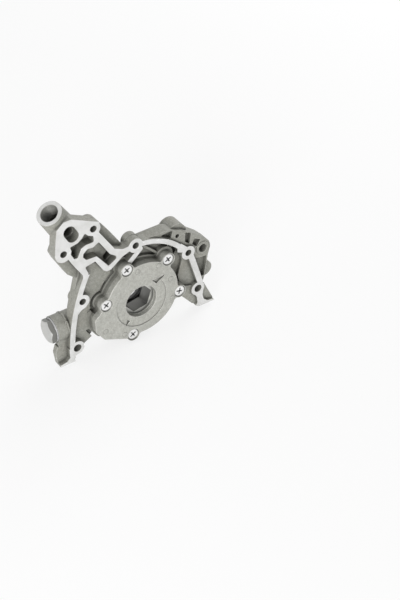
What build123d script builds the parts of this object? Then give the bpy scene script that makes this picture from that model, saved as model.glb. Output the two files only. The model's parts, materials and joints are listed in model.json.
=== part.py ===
from build123d import *
import math
import os

# Crank-driven internal-gear oil pump. Millimetres, origin on the crank axis in the
# plane of the block flange; -Y points to the engine block, +Y to the timing side,
# +X to the right seen from the block, +Z up (the sump face is horizontal).

# ---------------------------------------------------------------- driving sizes
CRANK_HEX_AF = 27.0          # across flats of the drive in the inner gear
SEAL_SHAFT_D = 26.0          # crank nose that the front seal runs on
SEAL_OD, SEAL_W, SEAL_LIP_FIT = 42.0, 8.0, 0.03
M6_CLEAR_R, M8_CLEAR_R = 3.5, 4.2

LEG_D = 11.0                 # depth of the arch and leg walls
FLOOR_Y = 6.0                # recess floor behind the flange, left of the case
CHANNEL_Y = 9.5              # groove round the left of the gear case
TOP_FLOOR_Y, RIB_Y = 10.0, 5.5             # deeper floor under the arch, and its rib
RIGHT_FLOOR_Y, STRIP_Y = 4.5, 7.5          # raised floor by the right leg, strip beside it
RECESS_BACK_Y = 13.5
CASE_BACK_Y = 20.0           # front wall of the gear case, outside
SEAL_FACE_Y = 27.0
ARM_D, ARM_BACK_Y = 8.0, 17.0         # gallery casting behind the land of the port arm
BRACKET_Y0, BRACKET_Y1 = 2.5, 16.0
POCKET_D = 4.5               # lightening pockets of the bracket

COVER_FACE_Y, COVER_SEAT_Y = -4.3, 1.7
GEAR_W, END_FLOAT = 11.94, 0.03
CHAMBER_Y1 = COVER_SEAT_Y + GEAR_W + 2 * END_FLOAT

COVER_BORE_R, COVER_LIP_R, COVER_LIP_Y = 17.4, 16.8, 0.0
COVER_RING_R, COVER_RING_D = 28.2, 0.7     # shallow ring recess round the bore
SCREW_R, HEAD_R = 2.95, 5.7                # countersunk M6: shank and head
HEAD_L = HEAD_R - SCREW_R                  # a 90 degree cone
HEAD_Y = COVER_FACE_Y + 1.0                # where the cone of the head starts
SINK_R = HEAD_R + 0.7                      # countersink, a little wider than the head

# internal gear pair: same tooth size, centres apart by MODULE * (RING_Z - PINION_Z) / 2
MODULE, PINION_Z, RING_Z = 2.75, 16, 20
ADDENDUM, DEDENDUM, PRESSURE_ANGLE, BACKLASH = 0.7, 0.95, 25.0, 0.34
ECCENTRIC_ANGLE = 56.0
ECCENTRICITY = MODULE * (RING_Z - PINION_Z) / 2
GEAR_CX = ECCENTRICITY * math.cos(math.radians(ECCENTRIC_ANGLE))
GEAR_CZ = ECCENTRICITY * math.sin(math.radians(ECCENTRIC_ANGLE))
RING_OD_R, RING_FIT = 33.5, 0.05
HUB_R, HUB_FIT, HUB_END_Y = 17.5, 0.05, 17.2
FACE_RECESS_R, FACE_RECESS_Y = 17.4, 3.0   # recessed face round the drive hexagon
HEX_TURN = 9.2

# sunk wedges in the ring recess of the cover: corner, end of the long edge, short edge
COVER_NOTCHES = [((18, 13.5), (28, 20.5), (13.5, 19)), ((-14, -18), (-19, -22.5), (-17, -15))]

# flange holes (x, z, radius, eye radius)
HOLES = [(-43.0, 101.0, M6_CLEAR_R, 7.4), (-75.2, 86.3, M6_CLEAR_R, 7.6),
         (-0.2, 64.2, M6_CLEAR_R, 7.6), (58.0, 30.7, M6_CLEAR_R, 7.5),
         (-61.0, 25.4, M6_CLEAR_R, 7.5), (68.0, -17.7, M8_CLEAR_R, 7.7),
         (-71.3, -26.2, M8_CLEAR_R, 7.6)]
SCREWS = [(-13.3, 42.9), (32.5, 35.9), (44.0, -7.7), (-38.2, 12.3), (-11.6, -36.0)]

SUMP_Z = -41.0               # sump face under the feet
BOSS_D = 14.5                # bosses behind the flange bolts
STEP_Y = 6.0                 # the gear case is wider behind this plane

VALVE_Y, VALVE_Z = 15.0, -5.0        # relief valve axis, along X
VALVE_X0, VALVE_X1 = -88.0, -43.0    # bore from the plug seat to its inner end
VALVE_BOSS_R, PISTON_R, VALVE_FIT = 13.25, 7.0, 0.05
PLUG_THREAD_R, PLUG_THREAD_L = 9.0, 10.0
PLUG_X0, PLUG_SEAT_X = -95.0, -89.5
PLUG_AF, PLUG_TURN = 22.0, 10.0
SPRING_X0, SPRING_X1 = VALVE_X0 + 3, VALVE_X1 - 3.1
SPRING_R, SPRING_WIRE, SPRING_TURNS, SPRING_SIDES = 4.6, 1.3, 6, 12
SPRING_CUP_R = 5.7
SNOUT_MOUTH = (-78.4, 13.5, 125.0)
SNOUT_DIR = Vector(-0.5, -0.17, 0.85).normalized()
SNOUT_R, SNOUT_BASE_R, SNOUT_L = 12.5, 13.5, 27.0
SNOUT_BORE_R, SNOUT_BORE_L = 8.7, 21.0


# ---------------------------------------------------------------- helpers
def slab(sketch, y0, y1):
    """Extrude a frontal outline (x, z) from y0 back to y1."""
    return extrude(Plane.XZ.offset(-y0) * sketch, amount=-(y1 - y0))


def disc(x, z, r):
    return Pos(x, z) * Circle(r)


def drum(x, z, r, y0, y1):
    return slab(disc(x, z, r), y0, y1)


def poly(points, r=0.0):
    """Closed outline through the points, all corners rounded by r."""
    face = make_face(Polyline(*points, close=True))
    return fillet(face.vertices(), r) if r else face


def bar(p, q, w):
    """Round-ended strip of width w from p to q."""
    (x0, z0), (x1, z1) = p, q
    turn = math.degrees(math.atan2(z1 - z0, x1 - x0))
    mid = Pos((x0 + x1) / 2, (z0 + z1) / 2) * Rot(0, 0, turn)
    return mid * SlotCenterToCenter(math.hypot(x1 - x0, z1 - z0), w)


def soften(sketch, inner, outer=0.0):
    """Round the inside corners of an outline, then the outside ones."""
    s = offset(offset(sketch, inner), -inner)
    return offset(offset(s, -outer), outer) if outer else s


def ring_sector(r_in, r_out, a0, a1):
    """Part of a ring between two angles in degrees (less than 180 apart)."""
    far = 2 * r_out
    pts = [(far * math.cos(math.radians(a)), far * math.sin(math.radians(a)))
           for a in (a0, (a0 + a1) / 2, a1)]
    return (Circle(r_out) - Circle(r_in)) & make_face(Polyline((0, 0), *pts, close=True))


# ---------------------------------------------------------------- outlines
def cover_outline():
    """Round pump cover with the relief-passage lobe and one ear per screw."""
    lobe = poly([(-40, 10), (-52, 0.5), (-52, -14), (-44, -26.5), (-16, -39), (0, -30)], 5)
    plain = disc(1.4, 3.2, 40.2) + lobe
    return soften(plain + [disc(x, z, 7.0) for x, z in SCREWS], 3)


def arm_outline():
    """Filled land of the port arm, from the left leg up to the snout."""
    arm = poly([(-24, 72.5), (-37.5, 95), (-36, 106), (-64, 120), (-72, 120), (-79.5, 114),
                (-81.5, 104), (-84, 86), (-76, 79), (-71, 79), (-64, 65.3), (-58, 55.3),
                (-58, 50), (-53.5, 49), (-52.2, 55), (-55, 63), (-44, 65), (-36.3, 51.5),
                (-33, 48.7), (-28.5, 48.6), (-16, 57.5)], 1.5)
    neck = poly([(-28, 73), (-14.5, 66.3), (-8.5, 66.3), (-3, 71), (2, 58), (-8, 60.5),
                 (-15, 58), (-24, 52), (-40, 62)])
    return arm + neck + disc(*HOLES[0][:2], 7.4) + disc(*HOLES[1][:2], 8.6)


def s_port():
    return poly([(-38.5, 84.8), (-45, 81.3), (-51, 82), (-55.5, 78), (-56, 74.5), (-53, 70.5),
                 (-42, 70), (-30.5, 53.8), (-21.5, 59), (-22, 62), (-28, 66.5)], 1.6)


def bone_pocket():
    return poly([(-52, 100), (-49, 96.2), (-43.6, 93.5), (-43.6, 87), (-52, 87), (-57, 85),
                 (-61.5, 76.5), (-65, 76.5), (-68, 83), (-67, 87), (-68.5, 91), (-60, 92.5),
                 (-55.5, 95.5)], 1.4)


def slot_port():
    return bar((-67, 107.2), (-64.2, 101.6), 12.4)


def leg_band():
    """Left leg: a strip along a wide arc."""
    return Pos(123.9, -40.1) * ring_sector(198.2, 203.8, 152, 179.3)


def land_outline():
    """The machined land that seals against the block."""
    arch = ring_sector(61.3, 66.5, 34, 92)
    tab = poly([(46, 43.5), (45.5, 36.5), (51, 34), (57, 38), (50, 45)], 1)
    strut = bar((4.5, 58.5), (-8, 48), 5.4)
    right_leg = bar((61.4, 24), (71, -11), 6.2)
    brow = poly([(-57.5, 18), (-63, 16.2), (-68.5, 11.5), (-71.5, 4), (-70.5, 13), (-66, 30)])
    left_foot = poly([(-80, -24), (-80, -34.5), (-83.5, -37.5), (-91, -39), (-91, SUMP_Z),
                      (-75, SUMP_Z), (-75, -35), (-70, -33), (-72, -24)])
    right_foot = poly([(60.8, -19), (66.5, -28), (67, -35), (65, -38.5), (68.5, SUMP_Z),
                       (87, SUMP_Z), (86.5, -39.3), (79, -38), (74.5, -34), (73.3, -28),
                       (74.6, -20), (72, -12)])
    eyes = [disc(x, z, e) for x, z, r, e in HOLES]
    return (arm_outline() + arch + tab + strut + right_leg + leg_band() + brow
            + left_foot + right_foot + eyes)


# ---------------------------------------------------------------- housing
def recess_region():
    """Everything that the recessed wall between the arch, the legs and the case covers."""
    dome = Circle(63) & poly([(-70, 8), (70, 8), (70, 70), (-70, 70)])
    left = poly([(-30, 50), (-50, 66), (-58, 60), (-70, 20), (-77, -10), (-78, -28),
                 (-63, -30.5), (-51, -24), (-44, -14), (-30, 0), (-20, 20)])
    right = poly([(30, 40), (52, 36), (60, 24), (70, -8), (66, -14), (50, -10), (30, -10)])
    return dome + left + right


def flange_walls():
    """Flange walls, feet webs and the bosses behind the bolt eyes."""
    walls = slab(land_outline(), 0, LEG_D)
    lower_web = poly([(42, -10), (50, -21), (55, -27), (61, -34.5), (66, -38.5), (70, -30),
                      (67, -13.5), (57.6, -11.2), (48.7, -7.7)])
    right_gusset = poly([(76.5, -15), (88, SUMP_Z), (68, SUMP_Z), (66, -22)], 1.5)
    left_gusset = poly([(-76, 10), (-82, -2), (-82, -19.5), (-89.5, -19.5), (-92.3, -27),
                        (-91, SUMP_Z), (-75, SUMP_Z), (-75, -20)], 1.2)
    walls += slab(lower_web, 2.5, LEG_D)
    walls += slab(right_gusset, 3.0, LEG_D)
    walls += slab(left_gusset, 5.0, LEG_D)
    for x, z, r, eye in HOLES:
        walls += drum(x, z, eye + 0.4, LEG_D - 3, BOSS_D)
    return walls


def recess_wall():
    """Recessed wall: deep and ribbed under the arch, grooved to the left of the case."""
    wall = slab(recess_region(), FLOOR_Y, RECESS_BACK_Y)
    left = poly([(-72, -40), (-4, -40), (-4, 56), (-72, 56)])
    wall -= slab(offset(cover_outline(), 5.8) & left, FLOOR_Y - 1, CHANNEL_Y)
    under_arch = Circle(61.5) & poly([(-2, 36), (5, 62), (20, 64), (52, 44), (46, 33), (38, 30)])
    wall -= slab(under_arch, FLOOR_Y - 1, TOP_FLOOR_Y)
    wall += slab(bar((11, 56), (27.5, 40), 2.2), RIB_Y, TOP_FLOOR_Y + 1)
    wall += drum(33.2, 36.6, 9.3, RIB_Y - 1.5, LEG_D) + slab(bar((36, 38), (43, 46), 6.5), RIB_Y, LEG_D)
    right_floor = poly([(52.8, 29), (53, 21), (47.6, 5), (48.3, -1), (51.4, -8.3), (57, -13),
                        (68, -16), (66, 6), (58, 30)])
    strip = poly([(42, 36), (46, 30), (52.8, 29), (53, 21), (47.6, 5), (48.3, -8), (38, -8)])
    wall -= slab(strip, FLOOR_Y - 1, STRIP_Y)
    return wall + slab(right_floor, RIGHT_FLOOR_Y, LEG_D)


def case_body():
    """Gear case behind the cover, with its stepped foot, front wall and seal boss."""
    outline = cover_outline()
    body = slab(outline, COVER_SEAT_Y, CASE_BACK_Y)
    body += slab(offset(outline, 2.4), STEP_Y, CASE_BACK_Y)
    body += drum(0, 0, SEAL_OD / 2 + 6, CASE_BACK_Y - 1, SEAL_FACE_Y)
    return body


def snout_part(r, start, length, end_r=None):
    """Round bar, bore or cone on the snout axis, from start behind its mouth."""
    middle = Vector(*SNOUT_MOUTH) - SNOUT_DIR * (start + length / 2)
    place = Plane(origin=middle, z_dir=-SNOUT_DIR)
    return place * (Cone(r, end_r, length) if end_r else Cylinder(r, length))


def arm_body():
    """Deep gallery casting behind the port arm, with the threaded snout."""
    wide = poly([(-47, 107), (-36, 105), (-23.7, 87.6), (-7.4, 61), (-12, 40), (-30, 30),
                 (-44, 40), (-64, 51), (-70, 56.5), (-80, 76), (-83, 84), (-77.5, 95),
                 (-70, 108)], 3)
    return slab(wide, ARM_D, ARM_BACK_Y) + snout_part(SNOUT_R, 0, SNOUT_L, SNOUT_BASE_R)


def bracket():
    """Ribbed accessory bracket on the right, with its lightening pockets."""
    rim = poly([(6, 60), (8, 64.8), (36, 64.8), (51.6, 58.8), (63.6, 51.4), (76, 41.5), (84, 33),
                (85.3, 26), (82.3, 17), (78.5, -5), (75.5, -13), (70, -10), (60, 24), (50, 40),
                (30, 56)], 1.2)
    body = slab(rim, BRACKET_Y0, BRACKET_Y1)
    body += drum(76.3, 27.6, 8.9, BRACKET_Y0, 20)
    body += drum(49, 53, 11.2, BRACKET_Y0 + 4, 22.5)
    body += drum(81.5, -3.5, 8.5, 8, 18)
    pockets = [[(28, 61.4), (38.5, 62.4), (42.8, 62), (40.3, 54), (36.5, 56)],
               [(57, 54), (63.4, 50.8), (61.2, 38.5), (56.1, 43.2)],
               [(67, 42.5), (74.5, 38.5), (69.2, 32), (64.3, 37)],
               [(65, 19), (73, 17.5), (80.6, 16.5), (80.2, 8.3), (77.2, -6.6), (73, -6)]]
    for p in pockets:
        body -= slab(poly(p, 0.8), BRACKET_Y0 - 1, BRACKET_Y0 + POCKET_D)
    return body


def along_x(x0, x1, r, y=VALVE_Y, z=VALVE_Z):
    """Round bar parallel to X."""
    return extrude(Plane(origin=(x0, y, z), z_dir=(1, 0, 0)) * Circle(r), amount=x1 - x0)


def gear_radii():
    """Tip radii of the pinion and of the ring gear."""
    tip = ADDENDUM * MODULE
    return MODULE * PINION_Z / 2 + tip, MODULE * RING_Z / 2 - tip


def chamber():
    """Room for the gears round the cast crescent, with the kidney ports in its floor."""
    room = slab(disc(GEAR_CX, GEAR_CZ, RING_OD_R + RING_FIT), COVER_FACE_Y, CHAMBER_Y1)
    turn = Rot(0, 0, ECCENTRIC_ANGLE)
    pinion_tip, ring_tip = gear_radii()
    moon = disc(GEAR_CX, GEAR_CZ, ring_tip - 0.15) - Circle(pinion_tip + 0.15)
    moon = moon & turn * ring_sector(10, 60, -62, 62)
    room -= slab(moon, COVER_SEAT_Y, CHAMBER_Y1)
    for side in (1, -1):
        kidney = turn * ring_sector(20.5, 27, *sorted((side * 75, side * 145)))
        room += slab(kidney, CHAMBER_Y1 - 1, CHAMBER_Y1 + 3.5)
    return room


def valve_bore():
    """Relief-valve bore, its inlet from the cover lobe and its spill hole."""
    bore = along_x(VALVE_X0 - 1, VALVE_X1, PISTON_R + VALVE_FIT)
    bore += along_x(VALVE_X0 - 1, VALVE_X0 + PLUG_THREAD_L + 2, PLUG_THREAD_R)
    bore += along_x(VALVE_X1 - 1, -36, 4)
    lobe = poly([(-45, -3), (-45.5, -13), (-41, -19), (-31, -22), (-33, -8), (-38, -1)], 1.5)
    bore += slab(lobe, COVER_SEAT_Y - 1, 6.8)
    bore += drum(-39.5, VALVE_Z, 3, 6, VALVE_Y)
    return bore


def port_cuts():
    """Oil ports of the arm and the threaded bore of the snout."""
    cuts = slab(slot_port(), -1, 9) + slab(bone_pocket(), -1, 10) + slab(s_port(), -1, 8)
    window = poly([(-31.8, 61), (-27, 65.5), (-22.4, 61.5), (-22.6, 59.6), (-30.3, 55.2)], 1)
    cuts += slab(window, 6, 16.4)
    cuts += snout_part(SNOUT_BORE_R, -1, SNOUT_BORE_L + 1)
    cuts += drum(-64.5, 102.5, 5, 8, 16.5)
    return cuts


def housing():
    body = flange_walls() + recess_wall() + bracket() + arm_body()
    body += along_x(VALVE_X0, -30, VALVE_BOSS_R) - slab(recess_region(), 0, FLOOR_Y)
    body -= slab(offset(cover_outline(), 0.4), COVER_FACE_Y, COVER_SEAT_Y + 0.5)
    body += case_body()
    for x, z, r, eye in HOLES:
        body -= drum(x, z, r, -1, 40)
    for x, z in SCREWS:
        body -= drum(x, z, SCREW_R + 0.05, 0, COVER_SEAT_Y + 12)
    body -= drum(76.3, 27.6, 4.3, 0, 30) + drum(47.6, 53.6, 2.2, 0, 14)
    body -= drum(-47.5, 5.5, 2.6, COVER_SEAT_Y + 0.8, FLOOR_Y + 4)
    body -= chamber() + valve_bore() + port_cuts()
    body -= drum(0, 0, HUB_R + HUB_FIT, 0, SEAL_FACE_Y + 1)
    body -= drum(0, 0, SEAL_OD / 2, SEAL_FACE_Y - SEAL_W - 0.5, SEAL_FACE_Y + 1)
    return body


# ---------------------------------------------------------------- cover and screws
def countersink(x, z, head_r, tip_r):
    """90 degree cone that starts in the plane of the screw heads."""
    length = head_r - tip_r
    axis = Plane(origin=(x, HEAD_Y + length / 2, z), z_dir=(0, 1, 0))
    return axis * Cone(head_r, tip_r, length)


def cover():
    """Cast cover with its stepped bore, ring recess and countersinks."""
    body = slab(cover_outline(), COVER_FACE_Y, COVER_SEAT_Y)
    body -= drum(0, 0, COVER_BORE_R, COVER_FACE_Y - 1, COVER_LIP_Y)
    body -= drum(0, 0, COVER_LIP_R, COVER_FACE_Y, COVER_SEAT_Y + 1)
    body -= drum(0, 0, COVER_RING_R, COVER_FACE_Y - 1, COVER_FACE_Y + COVER_RING_D)
    for corner, long_end, short_end in COVER_NOTCHES:
        body -= slab(poly([corner, long_end, short_end]), COVER_FACE_Y, COVER_FACE_Y + 2.3)
    hole_r = SCREW_R + 0.35
    for x, z in SCREWS:
        body -= drum(x, z, SINK_R, COVER_FACE_Y - 1, HEAD_Y)
        body -= countersink(x, z, SINK_R, hole_r)
        body -= drum(x, z, hole_r, HEAD_Y, COVER_SEAT_Y + 1)
    return body


def cover_screws():
    """Five countersunk screws, their tips in the housing bosses."""
    return Compound(children=[countersink(x, z, HEAD_R, SCREW_R)
                              + drum(x, z, SCREW_R, HEAD_Y + HEAD_L / 2, COVER_SEAT_Y + 10)
                              for x, z in SCREWS])


# ---------------------------------------------------------------- gears
def involute(angle):
    return math.tan(angle) - angle


def half_tooth(z, r, sign):
    """Half of a tooth's angle at radius r; sign is 1 outside, -1 inside a ring."""
    alpha = math.radians(PRESSURE_ANGLE)
    base = MODULE * z / 2 * math.cos(alpha)
    at_r = math.acos(min(1.0, base / r))
    return math.pi / (2 * z) + sign * (involute(alpha) - involute(at_r)) - BACKLASH / (MODULE * z)


def tooth_outline(z, tip, root, start):
    """Closed outline of all teeth; each flank is two chords of the involute."""
    sign = 1 if tip > root else -1
    radii = (root, (root + tip) / 2, tip)
    flank = [(r, half_tooth(z, r, sign)) for r in radii]
    tooth = [(r, -half) for r, half in flank] + flank[::-1]
    turns = [(r, start + i * 2 * math.pi / z + a) for i in range(z) for r, a in tooth]
    return poly([(r * math.cos(a), r * math.sin(a)) for r, a in turns])


def mesh_angle():
    """Direction from the gear centres in which the two gears are in mesh."""
    return math.radians(ECCENTRIC_ANGLE + 180)


def inner_gear():
    tip, _ = gear_radii()
    root = MODULE * (PINION_Z / 2 - DEDENDUM)
    y0 = COVER_SEAT_Y + END_FLOAT
    body = slab(tooth_outline(PINION_Z, tip, root, mesh_angle()), y0, y0 + GEAR_W)
    body += drum(0, 0, HUB_R, y0 + GEAR_W - 1, HUB_END_Y)
    body -= drum(0, 0, FACE_RECESS_R, y0 - 1, FACE_RECESS_Y)
    drive = Rot(0, 0, HEX_TURN) * RegularPolygon(CRANK_HEX_AF / 2, 6, major_radius=False)
    return body - slab(drive, y0 - 2, HUB_END_Y + 1)


def outer_gear():
    _, tip = gear_radii()
    root = MODULE * (RING_Z / 2 + DEDENDUM)
    start = mesh_angle() + math.pi / RING_Z
    ring = Circle(RING_OD_R) - tooth_outline(RING_Z, tip, root, start)
    y0 = COVER_SEAT_Y + END_FLOAT
    return slab(Pos(GEAR_CX, GEAR_CZ) * ring, y0, y0 + GEAR_W)


# ---------------------------------------------------------------- crank seal
def turned(points):
    """Solid of revolution about the crank axis from (radius, y) points."""
    return revolve(make_face(Polyline(*points, close=True)), Axis.Y)


def seal_case():
    """Pressed steel shell of the seal, an L in section."""
    r, y0, y1, t = SEAL_OD / 2, SEAL_FACE_Y - SEAL_W, SEAL_FACE_Y, 1.2
    return turned([(r, y0), (r, y1), (r - 4.5, y1), (r - 4.5, y1 - t), (r - t, y1 - t), (r - t, y0)])


def seal_lip():
    """Rubber of the seal: it backs the shell's face and narrows to the lip on the shaft."""
    r, y1 = SEAL_SHAFT_D / 2 + SEAL_LIP_FIT, SEAL_FACE_Y
    back = y1 - 1.2
    return turned([(18.5, back), (15.2, back - 1.4), (15.2, y1 - 6.4), (r, y1 - 6.4),
                   (r, y1 - 5.4), (14.6, back)])


def seal_garter_spring():
    """Spring ring that presses the lip to the shaft."""
    y0 = SEAL_FACE_Y - 5.9
    return turned([(15.2, y0), (16.6, y0), (16.6, y0 + 1.4), (15.2, y0 + 1.4)])


# ---------------------------------------------------------------- relief valve
def relief_plug():
    """Hexagon plug, hollow at its tip to seat the spring."""
    length = PLUG_SEAT_X - PLUG_X0
    end = Plane(origin=(PLUG_X0, VALVE_Y, VALVE_Z), z_dir=(1, 0, 0))
    hexagon = Rot(0, 0, PLUG_TURN) * RegularPolygon(PLUG_AF / 2, 6, major_radius=False)
    chamfer_end = PLUG_AF / 2 - 0.6 + length * math.tan(math.radians(60))
    body = extrude(end * hexagon, amount=length)
    body &= end * Pos(0, 0, length / 2) * Cone(PLUG_AF / 2 - 0.6, chamfer_end, length)
    body += along_x(PLUG_SEAT_X - 1, VALVE_X0 + PLUG_THREAD_L, PLUG_THREAD_R)
    return body - along_x(SPRING_X0, VALVE_X0 + PLUG_THREAD_L + 1, SPRING_CUP_R)


def relief_washer():
    return along_x(PLUG_SEAT_X, VALVE_X0, 12.4) - along_x(PLUG_SEAT_X, VALVE_X0, PLUG_THREAD_R)


def relief_piston():
    """Cup-shaped piston, its closed end towards the oil inlet."""
    x1 = VALVE_X1 - 0.1
    return along_x(x1 - 18, x1, PISTON_R) - along_x(x1 - 19, SPRING_X1, SPRING_CUP_R)


def relief_spring():
    """Compression spring between the plug and the piston, wound of square wire."""
    length = SPRING_X1 - SPRING_X0 - 2 * SPRING_WIRE
    steps = SPRING_TURNS * SPRING_SIDES

    def at(i):
        turn = 2 * math.pi * i / SPRING_SIDES
        return (SPRING_X0 + SPRING_WIRE + length * i / steps,
                VALVE_Y + SPRING_R * math.cos(turn), VALVE_Z + SPRING_R * math.sin(turn))

    path = Polyline(*[at(i) for i in range(steps + 1)])
    profile = Plane(origin=path @ 0, z_dir=path % 0) * Rectangle(SPRING_WIRE, SPRING_WIRE)
    return sweep(profile, path, transition=Transition.RIGHT)


# ---------------------------------------------------------------- build
def build():
    os.makedirs("parts", exist_ok=True)
    nodes = {"housing": housing(), "pump_cover": cover(), "cover_screws": cover_screws(),
             "inner_gear": inner_gear(), "outer_gear": outer_gear(),
             "seal_case": seal_case(), "seal_lip": seal_lip(),
             "seal_garter_spring": seal_garter_spring(),
             "relief_plug": relief_plug(), "relief_washer": relief_washer(),
             "relief_piston": relief_piston(), "relief_spring": relief_spring()}
    for name, shape in nodes.items():
        export_step(shape, f"parts/{name}.step")


if __name__ == "__main__":
    build()
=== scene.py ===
import json
import math

import bmesh
import bpy
from mathutils import Matrix, Vector


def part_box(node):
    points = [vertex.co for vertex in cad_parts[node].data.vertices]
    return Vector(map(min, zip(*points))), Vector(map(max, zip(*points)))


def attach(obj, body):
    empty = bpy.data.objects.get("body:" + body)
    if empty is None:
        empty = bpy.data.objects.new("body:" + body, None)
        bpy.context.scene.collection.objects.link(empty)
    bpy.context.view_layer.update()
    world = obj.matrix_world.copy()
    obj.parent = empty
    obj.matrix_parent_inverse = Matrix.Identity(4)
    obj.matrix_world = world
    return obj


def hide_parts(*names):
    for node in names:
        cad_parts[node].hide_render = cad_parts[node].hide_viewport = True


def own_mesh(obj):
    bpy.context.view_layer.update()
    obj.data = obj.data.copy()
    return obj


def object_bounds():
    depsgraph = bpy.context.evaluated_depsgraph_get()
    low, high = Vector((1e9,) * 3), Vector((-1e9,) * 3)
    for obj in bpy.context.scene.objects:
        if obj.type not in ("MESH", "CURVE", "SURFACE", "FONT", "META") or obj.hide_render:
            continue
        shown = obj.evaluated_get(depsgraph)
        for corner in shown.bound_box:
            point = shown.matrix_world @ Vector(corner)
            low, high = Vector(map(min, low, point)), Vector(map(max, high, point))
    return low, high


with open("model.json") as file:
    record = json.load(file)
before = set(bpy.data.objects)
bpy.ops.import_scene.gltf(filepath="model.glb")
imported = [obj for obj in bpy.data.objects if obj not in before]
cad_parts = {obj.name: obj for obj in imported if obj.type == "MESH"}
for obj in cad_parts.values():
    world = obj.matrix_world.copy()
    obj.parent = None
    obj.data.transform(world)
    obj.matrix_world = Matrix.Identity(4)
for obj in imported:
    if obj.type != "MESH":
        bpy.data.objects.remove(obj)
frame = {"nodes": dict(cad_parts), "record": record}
cad_lo, cad_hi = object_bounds()
mounts = {mount["name"]: mount for mount in frame["record"]["mounts"]}

# Shapes are named in millimetres, and MM turns them into metres. What the camera can reach, the
# floor and the lights are in metres.
MM = 0.001


# ------------------------------------------------------------------ camera
CAMERA_AZ, CAMERA_EL, CAMERA_ROLL = (math.radians(a) for a in (-33.348, 38.569, -1.544))
CAMERA_SHIFT = Vector((-58.52, 0.66, -1208.1)) * MM   # the origin, seen from the camera
LENS_MM, SENSOR_MM = 75.0, 36.0
CLIP_START, CLIP_END = 0.05, 50.0


def make_camera():
    """Camera at the photograph's angle: azimuth and elevation round the origin, then roll."""
    back = Vector((math.sin(CAMERA_AZ) * math.cos(CAMERA_EL),
                   -math.cos(CAMERA_AZ) * math.cos(CAMERA_EL), math.sin(CAMERA_EL)))
    right = Vector((math.cos(CAMERA_AZ), math.sin(CAMERA_AZ), 0.0))
    up = back.cross(right)
    c, s = math.cos(CAMERA_ROLL), math.sin(CAMERA_ROLL)
    turn = Matrix((right * c + up * s, up * c - right * s, back)).transposed()
    data = bpy.data.cameras.new("camera")
    data.lens, data.sensor_width = LENS_MM, SENSOR_MM
    data.clip_start, data.clip_end = CLIP_START, CLIP_END
    camera = bpy.data.objects.new("camera", data)
    camera.matrix_world = Matrix.Translation(turn @ -CAMERA_SHIFT) @ turn.to_4x4()
    bpy.context.scene.collection.objects.link(camera)
    bpy.context.scene.camera = camera


# ------------------------------------------------------------------ node trees
class Tree:
    """A node tree, with short calls for the nodes used here."""

    def __init__(self, tree):
        self.tree = tree

    def add(self, kind, inputs=None, **settings):
        """Add a node, with its settings, and with values or links for its inputs."""
        node = self.tree.nodes.new(kind)
        for key, value in settings.items():
            setattr(node, key, value)
        for key, value in (inputs or {}).items():
            self.put(node.inputs[key], value)
        return node

    def put(self, socket, value):
        """Link an output to the socket, or set its value."""
        if isinstance(value, bpy.types.NodeSocket):
            self.tree.links.new(value, socket)
        else:
            socket.default_value = value

    def math(self, operation, a, b=0.0):
        """Result of an operation on one or two numbers."""
        return self.add("ShaderNodeMath", {0: a, 1: b}, operation=operation).outputs[0]

    def direct_rays(self):
        """1 for what the camera sees directly, in a reflection or through glass."""
        ray = self.add("ShaderNodeLightPath").outputs
        bounced = self.math("MAXIMUM", ray["Is Glossy Ray"], ray["Is Transmission Ray"])
        return self.math("MAXIMUM", ray["Is Camera Ray"], bounced)

    def mix_shader(self, factor, a, b):
        return self.add("ShaderNodeMixShader", {0: factor, 1: a, 2: b}).outputs[0]


class Shader(Tree):
    """A new material's node tree, round its main shader."""

    def __init__(self, name):
        self.material = bpy.data.materials.new(name)
        self.material.use_nodes = True
        super().__init__(self.material.node_tree)
        self.bsdf = self.tree.nodes["Principled BSDF"]
        self.point = self.add("ShaderNodeTexCoord").outputs["Object"]

    def noise(self, scale, detail=3.0, roughness=0.5):
        """Noise of the given scale, in waves per metre."""
        node = self.add("ShaderNodeTexNoise", {"Vector": self.point, "Scale": scale,
                                               "Detail": detail, "Roughness": roughness})
        return node.outputs["Fac"]

    def spread(self, value, low, high, to_low=0.0, to_high=1.0):
        """Map the range low..high of a value to another range, clamped."""
        node = self.add("ShaderNodeMapRange", {"Value": value, "From Min": low, "From Max": high,
                                               "To Min": to_low, "To Max": to_high})
        return node.outputs["Result"]

    def mix(self, factor, a, b, data_type="RGBA"):
        """Colour, or vector, a where the factor is 0 and b where it is 1."""
        node = self.add("ShaderNodeMix", data_type=data_type)
        for key, value in (("Factor", factor), ("A", a), ("B", b)):
            self.put(next(s for s in node.inputs if s.name == key and s.enabled), value)
        return next(s for s in node.outputs if s.enabled)

    def bump(self, height, distance, strength, normal=None):
        """Normal with bumps, over the face's own normal or a given one."""
        inputs = {"Height": height, "Distance": distance, "Strength": strength}
        if normal:
            inputs["Normal"] = normal
        return self.add("ShaderNodeBump", inputs).outputs["Normal"]

    def vector_math(self, operation, a, b):
        """Outputs of an operation on two vectors: 0 is a vector, Value a number."""
        return self.add("ShaderNodeVectorMath", {0: a, 1: b}, operation=operation).outputs

    def set(self, **values):
        """Set the main shader's inputs, by their names in lower case with underscores."""
        for key, value in values.items():
            self.put(self.bsdf.inputs[key.replace("_", " ").title()], value)


# ------------------------------------------------------------------ shader helpers
BEVEL_SAMPLES, CREVICE_SAMPLES = 6, 8
PLANE_LIMIT, PLANE_REACH = 0.98, 0.08    # how square a face lies to a plane, and how near in mm


def grey(value, yellow=0.0):
    """Grey of the given value, its blue lowered to make it warmer."""
    return (value, value, value * (1 - yellow), 1.0)


def soft_edges(s, radius):
    """Normal that rounds hard edges over a radius in millimetres."""
    node = s.add("ShaderNodeBevel", {"Radius": radius * MM}, samples=BEVEL_SAMPLES)
    return node.outputs["Normal"]


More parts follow.
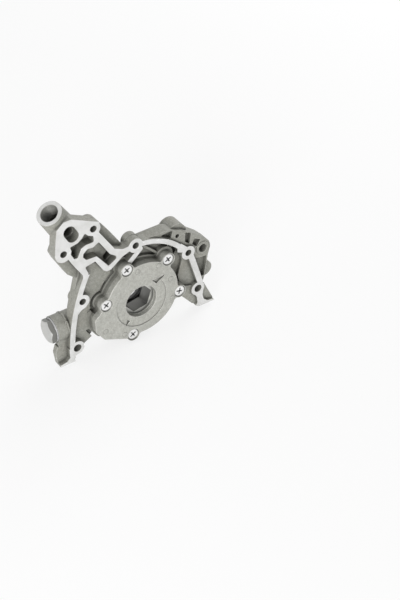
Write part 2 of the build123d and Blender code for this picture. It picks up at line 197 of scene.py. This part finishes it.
def openness(s, reach):
    """0 in corners and pockets narrower than a reach in millimetres, 1 on open faces."""
    node = s.add("ShaderNodeAmbientOcclusion", {"Distance": reach * MM}, samples=CREVICE_SAMPLES)
    return node.outputs["AO"]


def ridges(s, rounded, pockets):
    """1 on edges where the rounded normal leaves the face's own, 0 on flat faces and in pockets."""
    own = s.add("ShaderNodeNewGeometry").outputs["Normal"]
    bent = s.spread(s.vector_math("DOT_PRODUCT", own, rounded)["Value"], 0.80, 0.985, 1.0, 0.0)
    return s.math("MULTIPLY", bent, s.spread(pockets, 0.55, 0.9))


def facing(s, axis, limit):
    """1 where the cosine between the face's own normal and the axis, either way, is past a limit."""
    own = s.add("ShaderNodeNewGeometry").outputs["True Normal"]
    along = s.vector_math("DOT_PRODUCT", own, Vector(axis).normalized())["Value"]
    return s.math("GREATER_THAN", s.math("ABSOLUTE", along), limit)


def on_plane(s, point, normal):
    """1 on the flat faces that lie in the plane through a point, at right angles to a normal."""
    normal = Vector(normal).normalized()
    height = s.vector_math("DOT_PRODUCT", s.point, normal)["Value"]
    near = s.add("ShaderNodeMath", {0: height, 1: normal.dot(Vector(point)), 2: PLANE_REACH * MM},
                 operation="COMPARE").outputs[0]
    return s.math("MULTIPLY", near, facing(s, normal, PLANE_LIMIT))


# ------------------------------------------------------------------ materials
# cast skin: scales of its noises in waves per metre, then reaches, radii and heights
MOTTLE, STAINS, GRAIN, PITS, TOOLING, FEED = 60.0, 35.0, 900.0, 330.0, 90.0, 300.0
POCKET_REACH, CORNER_REACH, CAST_EDGE_R = 11.0, 1.8, 0.9
GRAIN_HEIGHT, PIT_HEIGHT, FEED_HEIGHT = 0.16, 0.45, 0.01
SHADE_FULL, SHADE_END = 0.1, 0.55      # how far off a pad's edge its ring of painted shade is full, and ends
MACHINED_GREY, CAST_METALLIC = 0.64, 0.35

# the same for steel: fine lines, handling smears and edges
LINES, SMEARS, STEEL_EDGE_R, LINE_HEIGHT = 3200.0, 140.0, 0.25, 0.02
LINE_STRETCH = (1.0, 0.15, 1.0)
SIDE_LIMIT = 0.7    # how square to the lit axis a face lies to keep the lit base; the rest get the walls' painted shade

# the same for rubber: bloom, grain and edges
BLOOM, RUBBER_GRAIN, RUBBER_EDGE_R, RUBBER_GRAIN_HEIGHT = 260.0, 2400.0, 0.2, 0.03


def cast_layers(s, base, stained, grain, pits, edges):
    """What lies over the cast skin's mottled colour, as rows of where it shows and its colour."""
    pockets, corners = openness(s, POCKET_REACH), openness(s, CORNER_REACH)
    stain = s.spread(s.noise(STAINS), 0.48, 0.72, 0.0, stained)
    # painted highlight on ridges, together with their rubbed wear
    ridge_sheen_and_wear = s.math("MULTIPLY", ridges(s, edges, pockets), 0.6)
    return [
        (stain, (base, base * 0.96, base * 0.82, 1.0)),
        (s.spread(pits, 0.3, 0.5, 0.4, 0.0), grey(base * 0.55, 0.1)),            # pits
        (s.spread(pits, 0.5, 0.7, 0.0, 0.35), grey(base * 1.35, 0.05)),          # bright specks
        (s.spread(grain, 0.36, 0.66, 0.5, 0.0), grey(base * 0.45, 0.12)),        # grain
        (s.spread(pockets, 0.02, 0.88, 0.95, 0.0), grey(base * 0.14, 0.16)),     # painted shade in pockets
        (s.spread(corners, 0.4, 0.95, 0.75, 0.0), grey(base * 0.2, 0.12)),       # painted shade in corners
        (ridge_sheen_and_wear, grey(base * 1.75, 0.04))]


def pad_shade_rings(s, centres):
    """1 in a thin ring of painted shade round each ejector pad, at (x, z) centres in millimetres."""
    flat = s.vector_math("MULTIPLY", s.point, (1.0, 0.0, 1.0))[0]
    rings = 0.0
    for x, z in centres:
        away = s.vector_math("DISTANCE", flat, (x * MM, 0.0, z * MM))["Value"]
        off_ring = s.math("ABSOLUTE", s.math("SUBTRACT", away, PAD_R * MM))
        ring = s.spread(off_ring, SHADE_FULL * MM, SHADE_END * MM, 1.0, 0.0)
        rings = s.math("ADD", rings, ring)
    return rings


def machined(s, planes, colour, roughness, normal):
    """The given colour, roughness and normal, made bright and finely lined on the planes."""
    mask = 0.0
    for point, axis in planes:
        mask = s.math("MAXIMUM", mask, on_plane(s, point, axis))
    feed = s.add("ShaderNodeTexWave", {"Vector": s.point, "Scale": FEED, "Distortion": 0.6},
                 bands_direction="X").outputs["Fac"]
    bright = s.mix(s.spread(s.noise(TOOLING, 4.0), 0.3, 0.7), grey(MACHINED_GREY * 0.82, 0.03),
                   grey(MACHINED_GREY, 0.01))
    polish = s.spread(feed, 0.0, 1.0, 0.3, 0.38)
    return (s.mix(mask, colour, bright), s.spread(mask, 0.0, 1.0, roughness, polish),
            s.mix(mask, normal, s.bump(feed, FEED_HEIGHT * MM, 0.3), "VECTOR"))


def cast_material(name, base, planes=(), pads=(), yellow=0.11, stained=0.6):
    """Cast aluminium: grainy, mottled, painted shade in hollows, painted highlight and wear on
    ridges, bright where machined.
    """
    s = Shader(name)
    edges = soft_edges(s, CAST_EDGE_R)
    grain, pits = s.noise(GRAIN, 4.0, 0.7), s.noise(PITS, 5.0, 0.6)
    mottle = s.spread(s.noise(MOTTLE, 5.0, 0.65), 0.32, 0.68)
    layers = cast_layers(s, base, stained, grain, pits, edges)
    if pads:
        # painted shade in a ring round each ejector pad
        layers.append((s.math("MULTIPLY", pad_shade_rings(s, pads), 0.6), grey(base * 0.4, 0.1)))
    colour = s.mix(mottle, grey(base * 0.94, yellow), grey(base * 1.04, yellow - 0.01))
    for where, tint in layers:
        colour = s.mix(where, colour, tint)
    roughness = s.spread(mottle, 0.0, 1.0, 0.48, 0.6)
    normal = s.bump(grain, GRAIN_HEIGHT * MM, 0.6, s.bump(pits, PIT_HEIGHT * MM, 0.8, edges))
    if planes:
        colour, roughness, normal = machined(s, planes, colour, roughness, normal)
    s.set(base_color=colour, roughness=roughness, metallic=CAST_METALLIC, normal=normal)
    return s.material


def steel_material(name, base, roughness, warm=0.0, metallic=0.75, crease_shade=0.6, reach=2.5,
                   shaded_walls=None, lit_axis=(0, 1, 0)):
    """Metal with fine lines, handling marks and painted shade in corners within a reach in
    millimetres.

    With a grey for its walls, painted as their shade, only the faces square to the lit axis keep the
    base.
    """
    s = Shader(name)
    stretched = s.add("ShaderNodeMapping", {"Vector": s.point, "Scale": LINE_STRETCH}).outputs[0]
    lines = s.add("ShaderNodeTexNoise", {"Vector": stretched, "Scale": LINES,
                                         "Detail": 2.0}).outputs["Fac"]
    smear = s.noise(SMEARS)
    colour = s.mix(s.spread(smear, 0.3, 0.7), grey(base * 0.88, warm), grey(base, warm))
    if shaded_walls is not None:
        # painted shade: faces that do not lie square to the lit axis get the darker walls' grey
        colour = s.mix(facing(s, lit_axis, SIDE_LIMIT), grey(shaded_walls, 0.06), colour)
    # painted shade in corners and recesses, such as the screws' cross recesses
    painted_shade = s.spread(openness(s, reach), 0.25, 0.85, crease_shade, 0.0)
    s.set(base_color=s.mix(painted_shade, colour, grey(base * 0.12, warm)), metallic=metallic,
          roughness=s.spread(smear, 0.3, 0.7, roughness * 0.85, roughness * 1.15),
          normal=s.bump(lines, LINE_HEIGHT * MM, 0.4, soft_edges(s, STEEL_EDGE_R)))
    return s.material


def rubber_material(name):
    """Black rubber with a pale bloom and a fine grain."""
    s = Shader(name)
    bloom, edges = s.spread(s.noise(BLOOM), 0.4, 0.75), soft_edges(s, RUBBER_EDGE_R)
    s.set(base_color=s.mix(bloom, grey(0.018, 0.05), grey(0.045, 0.03)),
          roughness=s.spread(bloom, 0.0, 1.0, 0.45, 0.65),
          normal=s.bump(s.noise(RUBBER_GRAIN, 2.0), RUBBER_GRAIN_HEIGHT * MM, 0.4, edges))
    return s.material


def make_looks(machined_planes):
    """A material for each slot of the record."""
    return {
        "casting": cast_material("casting", base=0.315, planes=machined_planes),
        "cover_casting": cast_material("cover_casting", base=0.445, pads=COVER_PADS, yellow=0.08,
                                       stained=0.15),
        # the gear's hex walls and the plug's flats get a darker grey as painted shade
        "gear_steel": steel_material("gear_steel", base=0.62, roughness=0.4, warm=0.05,
                                     crease_shade=0.75, reach=5.0, shaded_walls=0.155),
        "zinc_screw": steel_material("zinc_screw", base=0.84, roughness=0.34, warm=0.01,
                                     crease_shade=1.0, reach=5.0),
        "plug_steel": steel_material("plug_steel", base=0.52, roughness=0.38, warm=0.03,
                                     shaded_walls=0.2, lit_axis=(1, 0, 0)),
        "seal_steel": steel_material("seal_steel", base=0.2, roughness=0.45),
        "spring_steel": steel_material("spring_steel", base=0.4, roughness=0.3),
        "washer_aluminium": steel_material("washer_aluminium", base=0.55, roughness=0.5),
        "seal_rubber": rubber_material("seal_rubber")}


def paint_node(node, material):
    """Give a CAD node this material alone."""
    mesh = frame["nodes"][node].data
    mesh.materials.clear()
    mesh.materials.append(material)


# ------------------------------------------------------------------ mesh helpers
SHARP_ANGLE = math.radians(28)


def circle(steps):
    """Points round a circle of radius 1."""
    turns = [2 * math.pi * i / steps for i in range(steps)]
    return [(math.cos(a), math.sin(a)) for a in turns]


def add_loop(bm, points, x, z, y):
    """Closed loop of vertices and edges through (x, z) points round a place, in millimetres."""
    verts = [bm.verts.new(((x + px) * MM, y * MM, (z + pz) * MM)) for px, pz in points]
    edges = [bm.edges.new(pair) for pair in zip(verts, verts[1:] + verts[:1])]
    return verts, edges


def skin(bm, rows):
    """Faces between rows of vertices, each row closed on itself."""
    for low, high in zip(rows, rows[1:]):
        for i in range(len(low)):
            j = (i + 1) % len(low)
            bm.faces.new((low[i], low[j], high[j], high[i]))


def add_rings(bm, profile, steps, x, z):
    """Loops of the profile's (radius, y) points round the Y line through (x, z), skinned."""
    rings = [add_loop(bm, [(r * c, r * s) for c, s in circle(steps)], x, z, y) for r, y in profile]
    skin(bm, [verts for verts, _ in rings])
    return rings


def close_ends(bm, rows):
    """A face over the first row of vertices and one over the last."""
    for end in (rows[0], rows[-1]):
        bm.faces.new(end)


def lathe(profile, steps, place, turn):
    """Skin turned about Y from (radius, y) points, then turned and moved to its place."""
    bm = bmesh.new()
    rows = [[bm.verts.new(place + turn @ Vector((r * c, y, r * s)) * MM) for c, s in circle(steps)]
            for r, y in profile]
    skin(bm, rows)
    return bm


def new_piece(name, bm, material, body="housing_body"):
    """Visible piece from the mesh, smooth but for its sharp edges, that moves with a body."""
    bmesh.ops.recalc_face_normals(bm, faces=bm.faces)
    mesh = bpy.data.meshes.new(name)
    bm.to_mesh(mesh)
    bm.free()
    for polygon in mesh.polygons:
        polygon.use_smooth = True
    mesh.set_sharp_from_angle(angle=SHARP_ANGLE)
    mesh.materials.append(material)
    piece = bpy.data.objects.new(name, mesh)
    bpy.context.scene.collection.objects.link(piece)
    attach(piece, body)
    return piece


# ------------------------------------------------------------------ cover screws
screws_lo, screws_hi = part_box("cover_screws")
HEAD_Y, TIP_Y = screws_lo.y / MM, screws_hi.y / MM
HEAD_R, SHANK_R, HEAD_DEPTH, TIP_CHAMFER, SCREW_STEPS = 5.65, 2.95, 3.05, 0.6, 48
SCREW_PROFILE = [(HEAD_R - 0.3, HEAD_Y), (HEAD_R, HEAD_Y + 0.2), (HEAD_R, HEAD_Y + 0.35),
                 (SHANK_R, HEAD_Y + HEAD_DEPTH), (SHANK_R, TIP_Y - TIP_CHAMFER),
                 (SHANK_R - TIP_CHAMFER, TIP_Y)]     # r, y
CROSS_HALF, CROSS_WIDTH, CROSS_DEPTH = 3.7, 1.35, 2.2
CORNER_SHARE, POINT_SHARE = 1.15, 0.3                # of half an arm's width
FLOOR_HALF_SHARE, FLOOR_WIDTH_SHARE = 0.7, 0.75      # what the recess's taper leaves at its floor
SCREWS = [(-13.3, 42.9, 31), (32.5, 35.9, 26), (44.0, -7.7, 74), (-38.2, 12.3, 40),
          (-11.6, -36.0, 31)]                        # x, z, turn of the cross recess in degrees


def cross_outline(half, width, turn):
    """Corner points of a cross with pointed arm ends."""
    w = width / 2
    corner, shoulder = w * CORNER_SHARE, half - w * POINT_SHARE
    arm = [(corner, -corner), (shoulder, -w), (half, 0.0), (shoulder, w)]
    points = []
    for quarter in range(4):
        a = math.radians(turn + 90 * quarter)
        points += [(x * math.cos(a) - z * math.sin(a), x * math.sin(a) + z * math.cos(a))
                   for x, z in arm]
    return points


def add_screw(bm, x, z, turn):
    """Countersunk screw with a tapered cross recess in its flat head."""
    rings = add_rings(bm, SCREW_PROFILE, SCREW_STEPS, x, z)
    bm.faces.new(rings[-1][0])
    mouth, mouth_edges = add_loop(bm, cross_outline(CROSS_HALF, CROSS_WIDTH, turn), x, z, HEAD_Y)
    floor, _ = add_loop(bm, cross_outline(CROSS_HALF * FLOOR_HALF_SHARE,
                                          CROSS_WIDTH * FLOOR_WIDTH_SHARE, turn),
                        x, z, HEAD_Y + CROSS_DEPTH)
    skin(bm, [mouth, floor])
    bm.faces.new(floor)
    bmesh.ops.triangle_fill(bm, edges=rings[0][1] + mouth_edges, use_beauty=True)


def make_screws(material):
    """The five cover screws, in place of the plain ones of the solids."""
    bm = bmesh.new()
    for x, z, turn in SCREWS:
        add_screw(bm, x, z, turn)
    piece = new_piece("cross_screws", bm, material)
    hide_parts("cover_screws")


# ------------------------------------------------------------------ ejector pads
COVER_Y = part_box("pump_cover")[0].y / MM    # the cover's front face
COVER_PADS = [(-2.4, 37.0), (21.3, 34.0), (34.0, 12.5), (35.0, -11.6), (-41.7, -17.5),
              (-21.3, -31.0)]               # x, z of the middle
PAD_R, PAD_STEPS = 2.7, 32
PAD_PROFILE = [(PAD_R + 0.05, COVER_Y + 0.2), (PAD_R, COVER_Y - 0.05),
               (PAD_R - 0.45, COVER_Y - 0.25)]     # r, y


def make_pads(material):
    """Low round pads that the ejector pins left on the cover."""
    bm = bmesh.new()
    for x, z in COVER_PADS:
        rings = add_rings(bm, PAD_PROFILE, PAD_STEPS, x, z)
        close_ends(bm, [verts for verts, _ in rings])
    new_piece("ejector_pads", bm, material)


# ------------------------------------------------------------------ snout thread
MOUNT_DEPTH = 8.0      # from the snout's mouth down to the mount of its thread
snout_axis = Vector(mounts["snout_thread"]["axis"])
snout_mouth = Vector(mounts["snout_thread"]["pos_m"]) + snout_axis * MOUNT_DEPTH * MM
ROOT_R, CREST_R, PITCH = 8.72, 8.1, 1.5
THREAD_START, THREAD_TURNS, THREAD_STEPS, LEAD_IN_STEPS = 1.7, 10, 36, 48
LEAD_IN = [(ROOT_R, 0.02), (CREST_R, 1.0), (ROOT_R, 1.6)]                      # r, depth
RIDGE = [(ROOT_R, 0.0), (CREST_R, 0.5), (CREST_R, 0.75), (ROOT_R, 1.25)]       # r, depth


def make_thread(material):
    """Female thread inside the snout: a lead-in, then one helical ridge that runs inwards."""
    turn = snout_axis.to_track_quat("-Y", "X").to_matrix()
    lead_in = lathe(LEAD_IN, LEAD_IN_STEPS, snout_mouth, turn)
    new_piece("snout_lead_in", lead_in, material)
    bm, rows = bmesh.new(), []
    for i in range(THREAD_TURNS * THREAD_STEPS + 1):
        a = 2 * math.pi * i / THREAD_STEPS
        start = THREAD_START + PITCH * i / THREAD_STEPS
        rows.append([bm.verts.new(snout_mouth + turn @ Vector((r * math.cos(a), start + depth,
                                                               r * math.sin(a))) * MM)
                     for r, depth in RIDGE])
    skin(bm, rows)
    close_ends(bm, rows)
    new_piece("snout_thread", bm, material)


# ------------------------------------------------------------------ small cast relief
# x, z of the web's outline
WEB_OUTLINE = [(-88.3, -21.5), (-88.3, -15.0), (-86.5, -13.0), (-80.5, -13.0), (-80.5, -21.5)]
WEB_FRONT_Y, WEB_BACK_Y = 4.97, 10.9
EYE_RIM = [(4.6, 2.9), (4.6, 1.95), (4.9, 1.7), (6.9, 1.7), (7.3, 2.0), (7.5, 2.9)]     # r, y
BOSS_COLLAR = [(12.9, 0.0), (13.7, 0.2), (13.95, 0.7), (13.95, 1.5), (13.7, 2.0),
               (12.9, 2.2)]                          # r, distance from its outer end
VALVE_Y, VALVE_Z, COLLAR_X = 15.0, -5.0, -77.6       # the valve's axis, and the collar's outer end
EYE_STEPS, COLLAR_STEPS = 48, 64


def make_web(material):
    """Web that ties the left foot to the valve boss."""
    bm = bmesh.new()
    rows = [add_loop(bm, WEB_OUTLINE, 0, 0, y)[0] for y in (WEB_FRONT_Y, WEB_BACK_Y)]
    skin(bm, rows)
    close_ends(bm, rows)
    new_piece("foot_web", bm, material)


def make_rims(material):
    """Raised rim round the bracket's bolt eye, and the step where the valve boss leaves the leg.

    Each profile ends at its first point again.
    """
    eye_x, _, eye_z = mounts["bracket_bolt"]["pos_m"]
    rim = lathe(EYE_RIM + EYE_RIM[:1], EYE_STEPS, Vector((eye_x, 0, eye_z)), Matrix.Identity(3))
    new_piece("bracket_eye_rim", rim, material)
    to_x = Vector((1, 0, 0)).to_track_quat("Y", "Z").to_matrix()
    collar = lathe(BOSS_COLLAR + BOSS_COLLAR[:1], COLLAR_STEPS,
                   Vector((COLLAR_X, VALVE_Y, VALVE_Z)) * MM, to_x)
    new_piece("boss_collar", collar, material)


# ------------------------------------------------------------------ relief spring
SPRING_X0, SPRING_X1 = -85.0, -46.15        # its ends, on the plug and on the piston
SPRING_R, WIRE_R, SPRING_TURNS, SPRING_STEPS, WIRE_SIDES = 4.6, 0.62, 8, 24, 8
CLOSED_RISE = 2.1 * WIRE_R                  # of one closed turn
OPEN_LENGTH = SPRING_X1 - SPRING_X0 - 2 * WIRE_R - 2 * CLOSED_RISE


def spring_x(turn):
    """Place along X of the wire's middle: the first and last turns lie closed."""
    closed_turns = min(turn, 1.0) + max(turn - SPRING_TURNS + 1, 0.0)
    open_share = min(max((turn - 1) / (SPRING_TURNS - 2), 0.0), 1.0)
    return SPRING_X0 + WIRE_R + CLOSED_RISE * closed_turns + OPEN_LENGTH * open_share


def make_spring(material):
    """Round-wire relief spring with closed ends."""
    bm, rows = bmesh.new(), []
    for i in range(SPRING_TURNS * SPRING_STEPS + 1):
        x, a = spring_x(i / SPRING_STEPS), 2 * math.pi * i / SPRING_STEPS
        rows.append([bm.verts.new(((x + WIRE_R * s) * MM,
                                   (VALVE_Y + (SPRING_R + WIRE_R * c) * math.cos(a)) * MM,
                                   (VALVE_Z + (SPRING_R + WIRE_R * c) * math.sin(a)) * MM))
                     for c, s in circle(WIRE_SIDES)])
    skin(bm, rows)
    close_ends(bm, rows)
    piece = new_piece("coil_spring", bm, material)
    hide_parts("relief_spring")
    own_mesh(piece)


# ------------------------------------------------------------------ floor and light
FLOOR_HALF, FLOOR_GAP = 20.0, 0.0001        # the gap is below the part's lowest point
GLOW_SHARE = 0.75                           # of plain white in what the camera sees of the floor
FLOOR_DARK, FLOOR_PALE, FLOOR_PATCHES, FLOOR_ROUGHNESS = 0.93, 0.95, 3.0, 0.9
SKY_STRENGTH, BACKGROUND_STRENGTH = 0.55, 1.0
LIGHTS = [("key", (-1.2, -1.15, 0.2), (0, 0, 0.03), 1.0, 35.0),
          ("fill", (1.2, 0.6, 0.9), (0, 0, 0.02), 1.2, 9.0)]     # name, place, aim, width, watts


def floor_material():
    """Pale matt floor that shows the camera and reflections a thinner shadow."""
    s = Shader("floor")
    s.set(base_color=s.mix(s.noise(FLOOR_PATCHES), grey(FLOOR_DARK), grey(FLOOR_PALE)),
          roughness=FLOOR_ROUGHNESS)
    glow = s.add("ShaderNodeEmission", {"Color": grey(1.0), "Strength": 1.0}).outputs[0]
    share = s.math("MULTIPLY", s.direct_rays(), GLOW_SHARE)
    s.put(s.tree.nodes["Material Output"].inputs["Surface"],
          s.mix_shader(share, s.bsdf.outputs[0], glow))
    return s.material


def make_floor():
    """Square floor just below the part, wide enough that no view shows its edge."""
    mesh = bpy.data.meshes.new("floor")
    corners = [(-FLOOR_HALF, -FLOOR_HALF), (FLOOR_HALF, -FLOOR_HALF), (FLOOR_HALF, FLOOR_HALF),
               (-FLOOR_HALF, FLOOR_HALF)]
    mesh.from_pydata([(x, y, cad_lo.z - FLOOR_GAP) for x, y in corners], [], [(0, 1, 2, 3)])
    floor = bpy.data.objects.new("floor", mesh)
    bpy.context.scene.collection.objects.link(floor)
    mesh.materials.append(floor_material())


def area_light(name, place, aim, width, watts):
    """Round lamp at a place, turned to the point that it aims at."""
    data = bpy.data.lights.new(name, "AREA")
    data.shape, data.size, data.energy = "DISK", width, watts
    lamp = bpy.data.objects.new(name, data)
    lamp.location = place
    lamp.rotation_euler = (Vector(aim) - Vector(place)).to_track_quat("-Z", "Y").to_euler()
    bpy.context.scene.collection.objects.link(lamp)


def make_light():
    """Soft sky that the camera sees as plain white, a key light and a weak fill from behind."""
    world = bpy.data.worlds.new("studio")
    bpy.context.scene.world = world
    world.use_nodes = True
    sky = Tree(world.node_tree)
    light, white = (sky.add("ShaderNodeBackground", {"Color": grey(1.0), "Strength": strength})
                    for strength in (SKY_STRENGTH, BACKGROUND_STRENGTH))
    sky.put(sky.tree.nodes["World Output"].inputs["Surface"],
            sky.mix_shader(sky.direct_rays(), light.outputs[0], white.outputs[0]))
    for row in LIGHTS:
        area_light(*row)


# ------------------------------------------------------------------ the whole scene
def dress_part():
    """Paint the CAD nodes and add the pieces that only the scene has."""
    machined_planes = [(mounts[name]["pos_m"], mounts[name]["axis"])
                       for name in ("block_face", "sump_face_left")]
    looks = make_looks(machined_planes + [(snout_mouth, snout_axis)])
    for part in frame["record"]["subparts"]:
        paint_node(part["node"], looks[part["material_slot"]])
    make_screws(looks["zinc_screw"])
    make_pads(looks["cover_casting"])
    # the tapped thread is a darker grey than the casting round it: painted shade inside the bore
    make_thread(steel_material("tapped_casting", base=0.2, roughness=0.5, warm=0.08,
                               metallic=0.3, reach=5.0))
    make_web(looks["casting"])
    make_rims(looks["casting"])
    make_spring(looks["spring_steel"])


bpy.context.scene.view_settings.view_transform = "Standard"
make_camera()
make_light()
make_floor()
dress_part()
